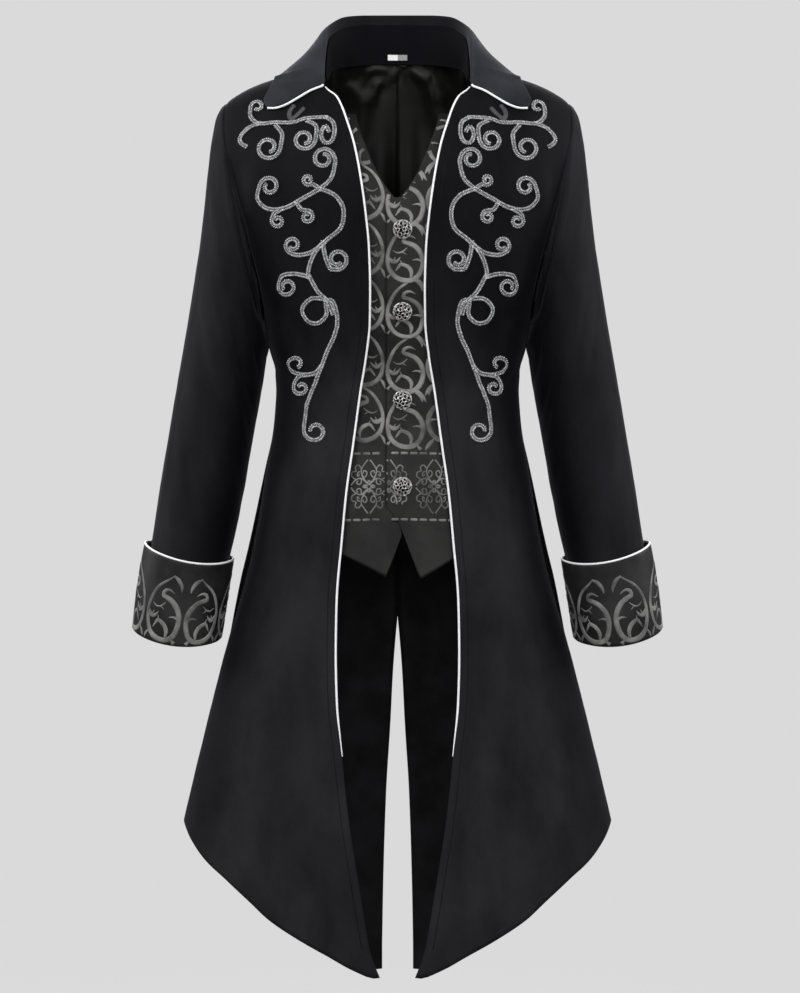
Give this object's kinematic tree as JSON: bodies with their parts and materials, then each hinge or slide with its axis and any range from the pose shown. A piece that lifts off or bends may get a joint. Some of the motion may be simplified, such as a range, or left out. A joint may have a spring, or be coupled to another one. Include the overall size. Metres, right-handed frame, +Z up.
{
  "type": "frock coat",
  "caption": "Knee-length frock coat with pointed skirts, spread collar, scrolled braid, brocade cuffs and a sewn-in brocade waistcoat front.",
  "frame": {"origin": "middle of the neck opening, level with the collar notches", "axes": "+Z up, front faces -Y, +X is the wearer's left"},
  "size_m": [0.643, 0.3237, 1.1814],
  "materials": {
    "coat_cloth": "soft napped black cloth",
    "lining": "black satin lining",
    "brocade": "charcoal satin with woven grey scrolls",
    "piping": "white corded piping",
    "braid": "silver grey stitched braid",
    "buttons": "antique silver openwork",
    "label": "bare woven tape"
  },
  "bodies": {
    "root": {"front_left": "coat_cloth", "back_left": "coat_cloth", "sleeve_left": "coat_cloth", "lining_left": "lining", "cuff_left": "brocade", "vest_left": "brocade", "piping_front_left": "piping", "piping_collar_left": "piping", "piping_cuff_left": "piping", "front_right": "coat_cloth", "back_right": "coat_cloth", "sleeve_right": "coat_cloth", "lining_right": "lining", "cuff_right": "brocade", "vest_right": "brocade", "piping_front_right": "piping", "piping_collar_right": "piping", "piping_cuff_right": "piping", "collar_stand": "coat_cloth", "collar_fall": "coat_cloth", "neck_label": "label", "button_1": "buttons", "button_2": "buttons", "button_3": "buttons", "button_4": "buttons"}
  },
  "joints": []
}
